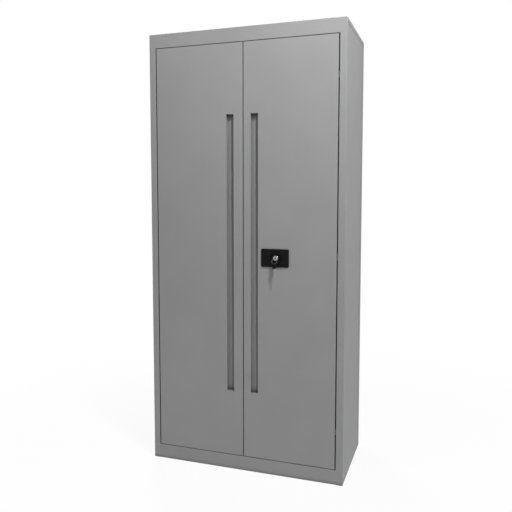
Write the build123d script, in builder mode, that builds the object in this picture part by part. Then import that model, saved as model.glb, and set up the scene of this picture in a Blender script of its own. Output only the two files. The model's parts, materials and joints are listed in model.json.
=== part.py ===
# Two-door steel storage cabinet with recessed pulls, a key lock and four loose shelves.
# Frame: millimetres, origin on the floor under the middle of the case, +Z up, front towards -Y.
import os
from math import cos, radians, sin

from build123d import *

os.makedirs("parts", exist_ok=True)

# Case
width = 915
depth = 458
height = 1996
half_width = width / 2
front = -depth / 2
back = depth / 2
sheet = 0.8
bend = 2.5
corner_bend = 3.5

# Front frame: stiles, top rail and plinth rail, each folded back round the doors
stile_width = 31
jamb_depth = 26
stop_width = 12.5
top_rail_height = 63.5
plinth_height = 66.5
rail_half_length = half_width - stile_width + bend
jamb_x = half_width - stile_width
stop_y = front + jamb_depth
stop_flange = 14
plinth_foot = 22
roof_flange = 20
seam_gap = 2
back_wrap = 48
rear_tongue = 22
tongue_gap = 0.1
joggle = 2.5
joggle_bend = 0.9
lap = 16
lap_strip_length = 358
lap_strip_y = -20
groove_depth = 5
groove_edge = 1
groove_bend = 1.2
inner_bend = 2
drill = 60

# Hat sections: two feet, two slopes and a raised middle
hat_foot = 14
hat_slope = 5
hat_middle = 40
roof_hat_rise = 16
roof_hat_inset = 40
back_hat_x = 155
back_hat_rise = 12
back_hat_low = plinth_height + 30
back_hat_high = height - 80
door_hat_x = 275
door_hat_rise = 15
door_hat_inset = 40

# Base: floor of the case and the rail behind it
base_side_gap = 0.3
base_rear_gap = 4
base_foot = 20
rear_rail_foot = 25
rear_rail_inset = 30

# Doors: flush pans in the front frame
door_gap = 3
side_gap = 4
top_gap = 2
door_depth = 20
door_edge_x = jamb_x - side_gap
meeting_x = door_gap / 2
door_bottom = plinth_height + door_gap
door_top = height - top_rail_height - top_gap
door_height = door_top - door_bottom
door_middle = (door_top + door_bottom) / 2
door_back = front + door_depth
door_flange = 12
inner_face = front + sheet
buffer_radius = 4.5
buffer_gap = 0.3
buffer_inset = 8
buffer_xs = [-330, -60, 60, 330]

# Pulls: a long channel behind a slot in each door
pull_width = 34
pull_depth = 18
pull_bottom = 370
pull_top = 1621
pull_length = pull_top - pull_bottom
pull_middle = (pull_top + pull_bottom) / 2
pull_flange = 10
pull_lip_bend = 0.4
pull_floor_bend = 1.2
left_pull_x = -61.6
right_pull_x = 52.8

# Hinges: each pin stands inside the door pan, close to the hinge edge
pin_inset = 8
pin_behind_face = 7
pin_radius = 2.5
pin_clearance = 0.08
pin_x = door_edge_x - pin_inset
pin_y = front + pin_behind_face
knuckle_radius = 4.4
knuckle_height = 30
leaf_thickness = 2.5
leaf_gap = 3
hinge_plate = 3
hinge_plate_size = (20, 15)
hinge_plate_shift = 4.5
hinge_gap = 0.6
pin_head = 1.5
pin_head_radius = 3.5
notch_width = 14
hinge_heights = [door_bottom + 160, door_middle, door_top - 160]

# Lock: plate and cylinder on the right door, crank and two rods behind it
lock_x = 153.5
lock_z = 988
plate_size = (126, 79)
plate_x = 149
plate_z = 988
plate_depth = 5
plate_corner = 6
plate_edge = 1.4
dish_radius = 31
dish_depth = 2.2
collar_radius = 11
collar_depth = 6
collar_edge = 1.2
barrel_radius = 9.5
case_size = (66, 52)
case_wall = 1.2
plug_radius = 6.5
plug_proud = 0.5
bore_clearance = 0.1
spindle_radius = 3
spindle_proud = 4
key_slot = (2.8, 24, 9)
disc_gap = 2
disc_thickness = 2.5
crank_radius = 12
crank_start = -45
crank_turn = 90
crank_rim = 4.5
crank_pin_radius = 2.5
crank_pin_length = 8.8
nut_radius = 5.5
nut_thickness = 3.2
rod_radius = 4
rod_offset = 10.25
rod_y = front + 13
rod_clearance = 0.4
rod_hole = rod_radius + 1
rod_flat = (13.3, 3, 15)
rod_slot = (9.5, 6.6)
rod_chamfer = 1
guide_block = (18, 12)
guide_gap = 0.5
upper_guides = [lock_z + 90, 1400, door_top - 70]
lower_guides = [lock_z - 90, 560, door_bottom + 70]

# Bolts that hold the left door at its top and bottom edges
bolt_x = -25
bolt_length = 130
bolt_knob_radius = 3
bolt_knob_length = 16
bolt_guide_spacing = 72

# Keys: one in the lock, the other on the ring that hangs from its bow
bow_reach = 13
bow_radius = 10
bow_hole = 2.7
bow_hole_shift = 3
blade_thickness = 2
blade_width = 7.6
blade_inside = 17
ring_wire = 0.9
ring_radius = 11.5
spare_turn = radians(40)
spare_hole = 4.2
head_size = (20, 27)
head_thickness = 4
head_corner = 8
head_drop = 8.5
head_socket = 4
spare_blade_length = 42

# Shelves and the slotted uprights that carry them
shelf_tops = [450, 830, 1210, 1590]
shelf_depth = 385
shelf_middle_y = 2
shelf_rim = 28
shelf_hem = 14
shelf_end_gap = 1.2
upright_width = 30
upright_proud = 12
upright_sheet = 1.5
upright_y = 158
upright_low = plinth_height + 10
upright_high = height - 60
slot_pitch = 20
slot_size = (4, 12)
slots_below = 16
slot_count = 90
clip_sheet = 1.5
clip_height = 16
clip_hook = (3.2, 3.4, 9)
clip_hook_drop = 1
clip_reach = 13
clip_width = 18

# Wall anchor holes in the back
anchor_spacing = 600
anchor_radius = 4
anchor_z = 1900

# Corner plates in the base, with holes for levelling feet
foot_spacing_x = 830
foot_spacing_y = 370
foot_hole_radius = 4.5
corner_plate = 2.5
corner_plate_size = 70
corner_plate_inset = 5 + corner_plate_size / 2


def save(piece, name):
    """Label one finished piece and write its STEP file."""
    piece.part.label = name
    export_step(piece.part, f"parts/{name}.step")


def folded_sheet(points, radius, side=Side.LEFT, thickness=sheet):
    """Outline of a folded sheet's section: its outer face and, one thickness away, its inner face."""
    with BuildLine() as outline:
        path = FilletPolyline(*points, radius=radius)
        offset(path, amount=thickness, side=side)
    return outline.line


def mirrored(points, side):
    """Place a section drawn for the left half on the side asked for: -1 left, +1 right."""
    return [(-side * x, y) for x, y in points]


def fold_side(side):
    """The sheet lies left of a path drawn for the left half, and right of its mirror image."""
    return Side.LEFT if side < 0 else Side.RIGHT


def hat_section(middle, base, rise):
    """Points of a hat section that stands on a base line and rises from it."""
    feet = hat_middle / 2 + hat_slope + hat_foot
    half = [(-feet, 0), (hat_foot - feet, 0), (-hat_middle / 2, rise)]
    return [(middle + x, base + y) for x, y in half + [(-x, y) for x, y in reversed(half)]]


def side_panel(side, name):
    """One side: rear tongue, web, front stile, jamb return and door stop in a single folded sheet."""
    web_back = back - back_wrap - seam_gap
    tongue_x = half_width - sheet - tongue_gap
    section = [
        (-tongue_x, web_back + rear_tongue),
        (-tongue_x, web_back),
        (-half_width, web_back - joggle),
        (-half_width, front),
        (-jamb_x, front),
        (-jamb_x, stop_y),
        (-jamb_x + stop_width, stop_y),
    ]
    radii = [joggle_bend, joggle_bend, corner_bend, bend, bend]
    panel_top = height - roof_flange
    with BuildPart() as panel:
        with BuildSketch(Plane.XY):
            make_face(folded_sheet(mirrored(section, side), radii, fold_side(side)))
        extrude(amount=panel_top)
        # the rails take the place of the jamb at both ends
        for low, high in ((0, plinth_height), (height - top_rail_height, panel_top)):
            with Locations((side * (rail_half_length - stile_width / 2), stop_y, (low + high) / 2)):
                Box(stile_width, 2 * jamb_depth + sheet, high - low, mode=Mode.SUBTRACT)
        # the web stops short of the roof flange and leaves the seam seen from the side
        with Locations((side * half_width, corner_bend + sheet, panel_top)):
            Box(stile_width, depth, 2 * seam_gap, mode=Mode.SUBTRACT)
    save(panel, name)


def rail(section, name, jamb_z, stop_direction):
    """A folded cross rail between the stiles, with holes for the lock rods and the bolts."""
    with BuildPart() as piece:
        with BuildSketch(Plane.YZ.offset(-rail_half_length)):
            make_face(folded_sheet(section, bend))
        extrude(amount=2 * rail_half_length)
        for hole_x in (lock_x + rod_offset, lock_x - rod_offset, bolt_x):
            with Locations((hole_x, rod_y, jamb_z)):
                Cylinder(rod_hole, 6 * sheet, mode=Mode.SUBTRACT)
        # the stop flange ends where the stile's own stop begins
        for side in (-1, 1):
            with Locations((side * jamb_x, stop_y, jamb_z + stop_direction * stop_flange)):
                Box(2 * stop_width, 4 * bend, 2 * stop_flange, mode=Mode.SUBTRACT)
    save(piece, name)


def door_skin(side, pull_x, hole_xs, name):
    """A door pan: face, four returns and an inner flange, with its slot, notches and holes."""
    outer = door_edge_x
    section = [
        (-outer + door_flange, door_back),
        (-outer, door_back),
        (-outer, front),
        (-meeting_x, front),
        (-meeting_x, door_back),
        (-meeting_x - door_flange, door_back),
    ]
    middle_x = side * (outer + meeting_x) / 2
    inner_width = outer - meeting_x - 2 * sheet
    with BuildPart() as skin:
        with BuildSketch(Plane.XY.offset(door_bottom)):
            make_face(folded_sheet(mirrored(section, side), bend, fold_side(side)))
        extrude(amount=door_height)
        # top and bottom returns, each with its flange
        for end_z, inward in ((door_bottom, 1), (door_top, -1)):
            with Locations((middle_x, (inner_face + door_back) / 2, end_z + inward * sheet / 2)):
                Box(inner_width, door_depth - sheet, sheet)
            with Locations((middle_x, door_back - sheet / 2, end_z + inward * door_flange / 2)):
                Box(inner_width, sheet, door_flange)
            for hole_x in hole_xs:
                with Locations((hole_x, rod_y, end_z)):
                    Cylinder(rod_hole, 6 * sheet, mode=Mode.SUBTRACT)
        # slot for the pull
        with Locations((pull_x, front, pull_middle)):
            Box(pull_width, 4 * sheet, pull_length, mode=Mode.SUBTRACT)
        # notches that let the fixed hinge leaves in
        for hinge_z in hinge_heights:
            with Locations((side * outer, front + bend + door_depth / 2, hinge_z)):
                Box(2 * notch_width, door_depth, knuckle_height + 2 * hinge_gap, mode=Mode.SUBTRACT)
        if side > 0:
            with Locations(Location((lock_x, front, lock_z), (90, 0, 0))):
                Cylinder(barrel_radius + bore_clearance, 6 * sheet, mode=Mode.SUBTRACT)
    save(skin, name)


def pull_channel(pull_x, name):
    """The recess behind the slot: a channel with side flanges and closed ends."""
    half = pull_width / 2
    floor_y = front + pull_depth
    section = [
        (pull_x - half - pull_flange, inner_face),
        (pull_x - half, inner_face),
        (pull_x - half, floor_y),
        (pull_x + half, floor_y),
        (pull_x + half, inner_face),
        (pull_x + half + pull_flange, inner_face),
    ]
    wall_depth = floor_y + sheet - inner_face
    with BuildPart() as channel:
        with BuildSketch(Plane.XY.offset(pull_bottom)):
            make_face(folded_sheet(section, [pull_lip_bend, pull_floor_bend, pull_floor_bend, pull_lip_bend]))
        extrude(amount=pull_length)
        for end_z in (pull_bottom - sheet / 2, pull_top + sheet / 2):
            with Locations((pull_x, inner_face + wall_depth / 2, end_z)):
                Box(pull_width + 2 * sheet, wall_depth, sheet)
    save(channel, name)


def door_stiffener(side, name):
    """An upright hat section welded behind a door face."""
    with BuildPart() as hat:
        with BuildSketch(Plane.XY.offset(door_bottom + door_hat_inset)):
            make_face(folded_sheet(hat_section(side * door_hat_x, inner_face, door_hat_rise), inner_bend))
        extrude(amount=door_height - 2 * door_hat_inset)
    save(hat, name)


def frame_leaves(side, name):
    """The fixed hinge leaves: a bored knuckle on a leg that reaches back to the door stop."""
    leg = stop_y - pin_y
    foot = jamb_x - pin_x - leaf_gap
    with BuildPart() as leaves:
        for hinge_z in hinge_heights:
            with BuildSketch(Plane.XY.offset(hinge_z - knuckle_height / 2)):
                with Locations((side * pin_x, pin_y)):
                    Circle(knuckle_radius)
                with Locations((side * pin_x, pin_y + leg / 2)):
                    Rectangle(leaf_thickness, leg)
                with Locations((side * (pin_x + foot / 2), stop_y - leaf_thickness / 2)):
                    Rectangle(foot, leaf_thickness)
                with Locations((side * pin_x, pin_y)):
                    Circle(pin_radius + pin_clearance, mode=Mode.SUBTRACT)
            extrude(amount=knuckle_height)
    save(leaves, name)


def door_hinge_plates(side, name):
    """Pairs of plates inside the door pan, above and below each fixed knuckle."""
    plate_width, plate_reach = hinge_plate_size
    offset_z = knuckle_height / 2 + hinge_gap + hinge_plate / 2
    with BuildPart() as plates:
        for hinge_z in hinge_heights:
            for level in (hinge_z - offset_z, hinge_z + offset_z):
                with Locations((side * (pin_x - hinge_plate_shift), inner_face + plate_reach / 2, level)):
                    Box(plate_width, plate_reach, hinge_plate)
                with Locations((side * pin_x, pin_y, level)):
                    Cylinder(pin_radius, hinge_plate, mode=Mode.SUBTRACT)
    save(plates, name)


def hinge_pins(side, name):
    """Headed pins, one through each knuckle and its two plates."""
    reach = knuckle_height + 2 * (hinge_gap + hinge_plate)
    with BuildPart() as pins:
        for hinge_z in hinge_heights:
            with Locations((side * pin_x, pin_y, hinge_z)):
                Cylinder(pin_radius, reach)
            head_offset = (reach + pin_head) / 2
            for end_z in (hinge_z - head_offset, hinge_z + head_offset):
                with Locations((side * pin_x, pin_y, end_z)):
                    Cylinder(pin_head_radius, pin_head)
    save(pins, name)


def rod_guides(rod_x, levels, name):
    """Blocks on the back of a door face, bored for one rod."""
    block_width, block_height = guide_block
    reach = door_depth - sheet - guide_gap
    with BuildPart() as guides:
        for level in levels:
            with Locations((rod_x, inner_face + reach / 2, level)):
                Box(block_width, reach, block_height)
            with Locations((rod_x, rod_y, level)):
                Cylinder(rod_radius + rod_clearance, block_height, mode=Mode.SUBTRACT)
    save(guides, name)


def lock_rod(direction, name):
    """A round rod with a slotted flat that the crank pin drives: +1 goes up, -1 goes down."""
    rod_x = lock_x + direction * rod_offset
    pin_z = lock_z - direction * crank_radius * sin(radians(-crank_start))
    flat_width, flat_thickness, flat_height = rod_flat
    slot_width, slot_height = rod_slot
    start_z = pin_z + direction * flat_height / 2
    end_z = door_top - sheet if direction > 0 else door_bottom + sheet
    with BuildPart() as rod:
        with Locations((rod_x, rod_y, (start_z + end_z) / 2)):
            Cylinder(rod_radius, abs(end_z - start_z))
        chamfer(rod.faces().sort_by(Axis.Z)[-1 if direction > 0 else 0].edges(), rod_chamfer)
        with Locations((rod_x, rod_y, pin_z)):
            Box(flat_width, flat_thickness, flat_height)
            Box(slot_width, flat_thickness, slot_height, mode=Mode.SUBTRACT)
    save(rod, name)


def door_bolt(direction, name):
    """A short sliding bolt with a finger peg for the left door."""
    end_z = door_top - sheet if direction > 0 else door_bottom + sheet
    middle_z = end_z - direction * bolt_length / 2
    with BuildPart() as bolt:
        with Locations((bolt_x, rod_y, middle_z)):
            Cylinder(rod_radius, bolt_length)
        chamfer(bolt.faces().sort_by(Axis.Z)[-1 if direction > 0 else 0].edges(), rod_chamfer)
        with Locations(Location((bolt_x, rod_y + bolt_knob_length / 2, middle_z), (90, 0, 0))):
            Cylinder(bolt_knob_radius, bolt_knob_length)
    save(bolt, name)


def upright(side, middle_y, name):
    """A slotted channel on the inside of a side panel."""
    web_x = half_width - sheet
    half = upright_width / 2
    section = [
        (-web_x, middle_y - half),
        (-web_x + upright_proud, middle_y - half),
        (-web_x + upright_proud, middle_y + half),
        (-web_x, middle_y + half),
    ]
    slot_width, slot_height = slot_size
    with BuildPart() as channel:
        with BuildSketch(Plane.XY.offset(upright_low)):
            make_face(folded_sheet(mirrored(section, side), bend, fold_side(side), upright_sheet))
        extrude(amount=upright_high - upright_low)
        first = shelf_slot_z(shelf_tops[0]) - slot_pitch * slots_below
        face_x = side * (web_x - upright_proud)
        with Locations([(face_x, middle_y, first + slot_pitch * index) for index in range(slot_count)]):
            Box(4 * upright_sheet, slot_width, slot_height, mode=Mode.SUBTRACT)
    save(channel, name)


def shelf_slot_z(shelf_top):
    """Height of the slot that a shelf's clips hook into."""
    return shelf_top - shelf_rim - clip_sheet / 2


def shelf(shelf_top, name):
    """A shelf tray, folded down on all four sides and hemmed in front and behind."""
    half_length = half_width - sheet - upright_proud - clip_sheet - shelf_end_gap
    low_y = shelf_middle_y - shelf_depth / 2
    high_y = shelf_middle_y + shelf_depth / 2
    under = shelf_top - shelf_rim
    section = [
        (low_y + shelf_hem, under),
        (low_y, under),
        (low_y, shelf_top),
        (high_y, shelf_top),
        (high_y, under),
        (high_y - shelf_hem, under),
    ]
    with BuildPart() as tray:
        with BuildSketch(Plane.YZ.offset(-half_length)):
            make_face(folded_sheet(section, inner_bend, Side.RIGHT))
        extrude(amount=2 * half_length)
        for end_x in (-half_length + sheet / 2, half_length - sheet / 2):
            with Locations((end_x, shelf_middle_y, (under + shelf_top - sheet) / 2)):
                Box(sheet, shelf_depth - 2 * sheet, shelf_rim - sheet)
    save(tray, name)


# Case
side_panel(-1, "left_side_panel")
side_panel(1, "right_side_panel")

top_section = [
    (front, height - roof_flange),
    (front, height - top_rail_height),
    (stop_y, height - top_rail_height),
    (stop_y, height - top_rail_height - stop_flange),
]
rail(top_section, "top_rail", height - top_rail_height, -1)

plinth_section = [
    (stop_y, plinth_height + stop_flange),
    (stop_y, plinth_height),
    (front, plinth_height),
    (front, 0),
    (front + plinth_foot, 0),
]
rail(plinth_section, "plinth_rail", plinth_height, 1)

with BuildPart() as roof_panel:
    with BuildSketch(Plane.XY.offset(height - roof_flange)):
        Rectangle(width, depth)
        fillet(vertices(), corner_bend)
    extrude(amount=roof_flange)
    fillet(faces().sort_by(Axis.Z)[-1].edges(), bend)
    offset(amount=-sheet, openings=faces().sort_by(Axis.Z)[0])
    # lap strips inside the side flanges, each with a groove behind the seam
    lap_x = half_width - sheet
    flange_edge = height - roof_flange
    groove_top = flange_edge + groove_edge
    groove_bottom = flange_edge - seam_gap - groove_edge
    strip_section = [
        (-lap_x, flange_edge + lap / 2),
        (-lap_x, groove_top),
        (groove_depth - lap_x, groove_top),
        (groove_depth - lap_x, groove_bottom),
        (-lap_x, groove_bottom),
        (-lap_x, flange_edge - lap / 2),
    ]
    for side in (-1, 1):
        with BuildSketch(Plane.XZ.offset(-lap_strip_y - lap_strip_length / 2)):
            make_face(folded_sheet(mirrored(strip_section, side), groove_bend, fold_side(side)))
        extrude(amount=lap_strip_length)
save(roof_panel, "roof_panel")

with BuildPart() as roof_stiffener:
    with BuildSketch(Plane.YZ.offset(roof_hat_inset - half_width)):
        make_face(folded_sheet(hat_section(0, height - sheet, -roof_hat_rise), inner_bend, Side.RIGHT))
    extrude(amount=width - 2 * roof_hat_inset)
save(roof_stiffener, "roof_stiffener")

with BuildPart() as back_panel:
    with BuildSketch(Plane.XY):
        back_section = [
            (-half_width, back - back_wrap),
            (-half_width, back),
            (half_width, back),
            (half_width, back - back_wrap),
        ]
        make_face(folded_sheet(back_section, corner_bend, Side.RIGHT))
    extrude(amount=height - roof_flange - seam_gap)
    with Locations(Location((0, back, anchor_z), (90, 0, 0))):
        with GridLocations(anchor_spacing, anchor_spacing, 2, 1):
            Cylinder(anchor_radius, 6 * sheet, mode=Mode.SUBTRACT)
save(back_panel, "back_panel")

with BuildPart() as back_stiffeners:
    for middle_x in (-back_hat_x, back_hat_x):
        with BuildSketch(Plane.XY.offset(back_hat_low)):
            back_hat = hat_section(middle_x, back - sheet, -back_hat_rise)
            make_face(folded_sheet(back_hat, inner_bend, Side.RIGHT))
        extrude(amount=back_hat_high - back_hat_low)
save(back_stiffeners, "back_stiffeners")

with BuildPart() as base_panel:
    base_back = back - base_rear_gap
    with BuildSketch(Plane.XZ.offset(-base_back)):
        base_half = half_width - 2 * sheet - base_side_gap
        base_section = [(base_foot - base_half, 0), (-base_half, 0), (-base_half, plinth_height)]
        base_section += [(-x, z) for x, z in reversed(base_section)]
        make_face(folded_sheet(base_section, bend, Side.RIGHT))
    extrude(amount=base_back - stop_y - 2 * sheet)
save(base_panel, "base_panel")

with BuildPart() as rear_base_rail:
    rail_y = back - sheet
    foot_y = rail_y - rear_rail_foot
    rail_top = plinth_height - sheet
    with BuildSketch(Plane.YZ.offset(rear_rail_inset - half_width)):
        make_face(folded_sheet([(foot_y, 0), (rail_y, 0), (rail_y, rail_top), (foot_y, rail_top)], bend))
    extrude(amount=width - 2 * rear_rail_inset)
save(rear_base_rail, "rear_base_rail")

with BuildPart() as base_corner_plates:
    with Locations((0, 0, sheet + corner_plate / 2)):
        with GridLocations(width - 2 * corner_plate_inset, depth - 2 * corner_plate_inset, 2, 2):
            Box(corner_plate_size, corner_plate_size, corner_plate)
    with Locations((0, 0, sheet)):
        with GridLocations(foot_spacing_x, foot_spacing_y, 2, 2):
            Cylinder(foot_hole_radius, 4 * corner_plate, mode=Mode.SUBTRACT)
save(base_corner_plates, "base_corner_plates")

with BuildPart() as door_buffers:
    buffer_length = stop_y - door_back - buffer_gap
    for buffer_x in buffer_xs:
        for buffer_z in (height - top_rail_height - buffer_inset, plinth_height + buffer_inset):
            with Locations(Location((buffer_x, stop_y - buffer_length / 2, buffer_z), (90, 0, 0))):
                Cylinder(buffer_radius, buffer_length)
save(door_buffers, "door_buffers")

# Doors
for side, hand, pull_x in ((-1, "left", left_pull_x), (1, "right", right_pull_x)):
    rod_holes = [bolt_x] if side < 0 else [lock_x - rod_offset, lock_x + rod_offset]
    door_skin(side, pull_x, rod_holes, f"{hand}_door_skin")
    pull_channel(pull_x, f"{hand}_pull_channel")
    door_stiffener(side, f"{hand}_door_stiffener")
    frame_leaves(side, f"{hand}_frame_hinge_leaves")
    door_hinge_plates(side, f"{hand}_door_hinge_plates")
    hinge_pins(side, f"{hand}_hinge_pins")

# Lock
face_y = front - plate_depth
seat_y = face_y + dish_depth
barrel_back = rod_y - rod_radius - 1
facing = (90, 0, 0)

with BuildPart() as lock_plate:
    with BuildSketch(Plane.XZ.offset(-front)):
        with Locations((plate_x, plate_z)):
            RectangleRounded(*plate_size, plate_corner)
    extrude(amount=plate_depth)
    fillet(faces().sort_by(Axis.Y)[0].edges(), plate_edge)
    dish_sphere = (dish_radius**2 + dish_depth**2) / (2 * dish_depth)
    with Locations((lock_x, seat_y - dish_sphere, lock_z)):
        Sphere(dish_sphere, mode=Mode.SUBTRACT)
    with Locations(Location((lock_x, front, lock_z), facing)):
        Cylinder(barrel_radius + bore_clearance, drill, mode=Mode.SUBTRACT)
    with Locations(Location((lock_x, seat_y - collar_depth, lock_z), facing)):
        Cylinder(collar_radius + bore_clearance, 2 * collar_depth, mode=Mode.SUBTRACT)
save(lock_plate, "lock_plate")

with BuildPart() as lock_barrel:
    with BuildSketch(Plane.XZ.offset(-seat_y)):
        with Locations((lock_x, lock_z)):
            Circle(collar_radius)
    extrude(amount=collar_depth)
    fillet(faces().sort_by(Axis.Y)[0].edges(), collar_edge)
    with BuildSketch(Plane.XZ.offset(-barrel_back)):
        with Locations((lock_x, lock_z)):
            Circle(barrel_radius)
    extrude(amount=barrel_back - seat_y)
    with Locations(Location((lock_x, front, lock_z), facing)):
        Cylinder(plug_radius + bore_clearance, drill, mode=Mode.SUBTRACT)
save(lock_barrel, "lock_barrel")

with BuildPart() as lock_case:
    case_depth = barrel_back - inner_face
    case_width, case_height = case_size
    with Locations((lock_x, inner_face + case_depth / 2, lock_z)):
        Box(case_width, case_depth, case_height)
        inner_size = [size - 2 * case_wall for size in (case_width, case_depth, case_height)]
        Box(*inner_size, mode=Mode.SUBTRACT)
    with Locations(Location((lock_x, inner_face, lock_z), facing)):
        Cylinder(barrel_radius + bore_clearance, drill, mode=Mode.SUBTRACT)
save(lock_case, "lock_case")

plug_front = seat_y - collar_depth - plug_proud
disc_front = rod_y + rod_radius + disc_gap
disc_back = disc_front + disc_thickness
spindle_back = disc_back + spindle_proud
with BuildPart() as lock_plug:
    with BuildSketch(Plane.XZ.offset(-barrel_back)):
        with Locations((lock_x, lock_z)):
            Circle(plug_radius)
    extrude(amount=barrel_back - plug_front)
    with BuildSketch(Plane.XZ.offset(-spindle_back)):
        with Locations((lock_x, lock_z)):
            Circle(spindle_radius)
    extrude(amount=spindle_back - barrel_back)
    with Locations((lock_x, plug_front + key_slot[1] / 2, lock_z)):
        Box(*key_slot, mode=Mode.SUBTRACT)
save(lock_plug, "lock_plug")

with BuildPart() as crank_disc:
    with BuildSketch(Plane.XZ.offset(-disc_back)):
        with Locations((lock_x, lock_z)):
            Circle(crank_radius + crank_rim)
    extrude(amount=disc_thickness)
    for turn in (crank_start, crank_start + 180):
        pin_at = (lock_x + crank_radius * cos(radians(turn)), lock_z + crank_radius * sin(radians(turn)))
        with Locations(Location((pin_at[0], disc_front - crank_pin_length / 2, pin_at[1]), facing)):
            Cylinder(crank_pin_radius, crank_pin_length)
    with Locations(Location((lock_x, disc_front, lock_z), facing)):
        Cylinder(spindle_radius + bore_clearance, drill, mode=Mode.SUBTRACT)
save(crank_disc, "crank_disc")

with BuildPart() as crank_nut:
    with BuildSketch(Plane.XZ.offset(-(disc_back + nut_thickness))):
        with Locations((lock_x, lock_z)):
            RegularPolygon(nut_radius, 6)
            Circle(spindle_radius + bore_clearance, mode=Mode.SUBTRACT)
    extrude(amount=nut_thickness)
save(crank_nut, "crank_nut")

lock_rod(1, "upper_lock_rod")
lock_rod(-1, "lower_lock_rod")
rod_guides(lock_x + rod_offset, upper_guides, "upper_rod_guides")
rod_guides(lock_x - rod_offset, lower_guides, "lower_rod_guides")
door_bolt(1, "upper_door_bolt")
door_bolt(-1, "lower_door_bolt")
bolt_middles = (door_top - bolt_length / 2, door_bottom + bolt_length / 2)
bolt_levels = [z + turn * bolt_guide_spacing / 2 for z in bolt_middles for turn in (-1, 1)]
rod_guides(bolt_x, bolt_levels, "door_bolt_guides")

# Keys
bow_y = plug_front - bow_reach
ring_y = bow_y - bow_hole_shift
blade_end = plug_front + blade_inside
with BuildPart() as lock_key:
    with BuildSketch(Plane.YZ.offset(lock_x - blade_thickness / 2)):
        with Locations((bow_y, lock_z)):
            Circle(bow_radius)
        with Locations(((bow_y + blade_end) / 2, lock_z)):
            Rectangle(blade_end - bow_y, blade_width)
        with Locations((ring_y, lock_z)):
            Circle(bow_hole, mode=Mode.SUBTRACT)
    extrude(amount=blade_thickness)
save(lock_key, "lock_key")

ring_z = lock_z - ring_radius
with BuildPart() as key_ring:
    with BuildSketch(Plane.YZ.offset(lock_x)):
        with Locations((ring_y, lock_z)):
            Circle(ring_wire)
    revolve(axis=Axis((lock_x, ring_y, ring_z), (0, 1, 0)), revolution_arc=360)
save(key_ring, "key_ring")

# the spare key hangs a little turned on the ring
spare_top = (lock_x, ring_y, ring_z - ring_radius)
spare_plane = Plane(
    origin=spare_top,
    x_dir=(sin(spare_turn), cos(spare_turn), 0),
    z_dir=(cos(spare_turn), -sin(spare_turn), 0),
)
head_foot = -head_drop - head_size[1] / 2
with BuildPart() as spare_key_head:
    with BuildSketch(spare_plane.offset(-head_thickness / 2)):
        with Locations((0, -head_drop)):
            RectangleRounded(*head_size, head_corner)
        Circle(spare_hole, mode=Mode.SUBTRACT)
    extrude(amount=head_thickness)
    with BuildSketch(spare_plane.offset(-blade_thickness / 2)):
        with Locations((0, head_foot + head_socket / 2)):
            Rectangle(blade_width, head_socket)
    extrude(amount=blade_thickness, mode=Mode.SUBTRACT)
save(spare_key_head, "spare_key_head")

with BuildPart() as spare_key_blade:
    with BuildSketch(spare_plane.offset(-blade_thickness / 2)):
        with Locations((0, head_foot + head_socket - spare_blade_length / 2)):
            Rectangle(blade_width, spare_blade_length)
    extrude(amount=blade_thickness)
save(spare_key_blade, "spare_key_blade")

# Shelves
for side, hand in ((-1, "left"), (1, "right")):
    upright(side, -upright_y, f"{hand}_front_upright")
    upright(side, upright_y, f"{hand}_rear_upright")

with BuildPart() as shelf_clips:
    upright_face = half_width - sheet - upright_proud
    for shelf_top in shelf_tops:
        ledge_z = shelf_slot_z(shelf_top)
        for side in (-1, 1):
            for middle_y in (-upright_y, upright_y):
                with Locations((side * (upright_face - clip_sheet / 2), middle_y, ledge_z)):
                    Box(clip_sheet, clip_width, clip_height)
                with Locations((side * (upright_face - clip_reach / 2), middle_y, ledge_z)):
                    Box(clip_reach, clip_width, clip_sheet)
                hook_x = side * (upright_face + clip_hook[0] / 2)
                with Locations((hook_x, middle_y, ledge_z - clip_hook_drop)):
                    Box(*clip_hook)
save(shelf_clips, "shelf_clips")

for number, shelf_top in enumerate(shelf_tops, start=1):
    shelf(shelf_top, f"shelf_{number}")
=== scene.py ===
import json
import math

import bpy
import numpy as np
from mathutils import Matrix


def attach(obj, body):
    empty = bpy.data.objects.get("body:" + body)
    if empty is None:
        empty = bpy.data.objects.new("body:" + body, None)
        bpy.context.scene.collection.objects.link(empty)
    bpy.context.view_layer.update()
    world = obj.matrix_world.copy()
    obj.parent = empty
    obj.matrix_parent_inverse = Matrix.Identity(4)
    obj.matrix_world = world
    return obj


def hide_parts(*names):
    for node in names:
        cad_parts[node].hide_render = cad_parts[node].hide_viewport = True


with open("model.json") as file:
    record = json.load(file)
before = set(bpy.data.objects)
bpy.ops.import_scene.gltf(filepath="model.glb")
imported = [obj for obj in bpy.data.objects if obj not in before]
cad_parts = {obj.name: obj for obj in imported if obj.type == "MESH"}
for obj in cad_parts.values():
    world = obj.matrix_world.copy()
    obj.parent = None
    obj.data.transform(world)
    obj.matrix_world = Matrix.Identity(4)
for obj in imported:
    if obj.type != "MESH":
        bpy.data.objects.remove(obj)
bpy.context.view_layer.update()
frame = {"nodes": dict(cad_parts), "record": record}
scene = bpy.context.scene
print("frame loaded:", len(frame["nodes"]), "nodes")


# camera: a level tripod shot from the front right, a little above the middle of the case
cameraSetup = {
    "place": (0.8877, -2.6739, 1.2734),
    "turn": 0.3261,          # towards the left, radians
    "tilt": 0.0769,          # downwards, radians
    "focalPixels": 584.1,    # for a picture 512 pixels wide
    "shiftPixels": -18,
    "pictureWidth": 512,
    "sensor": 36,            # millimetres
    "clip": (0.05, 60),      # nearest and farthest distance drawn, metres
}


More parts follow.
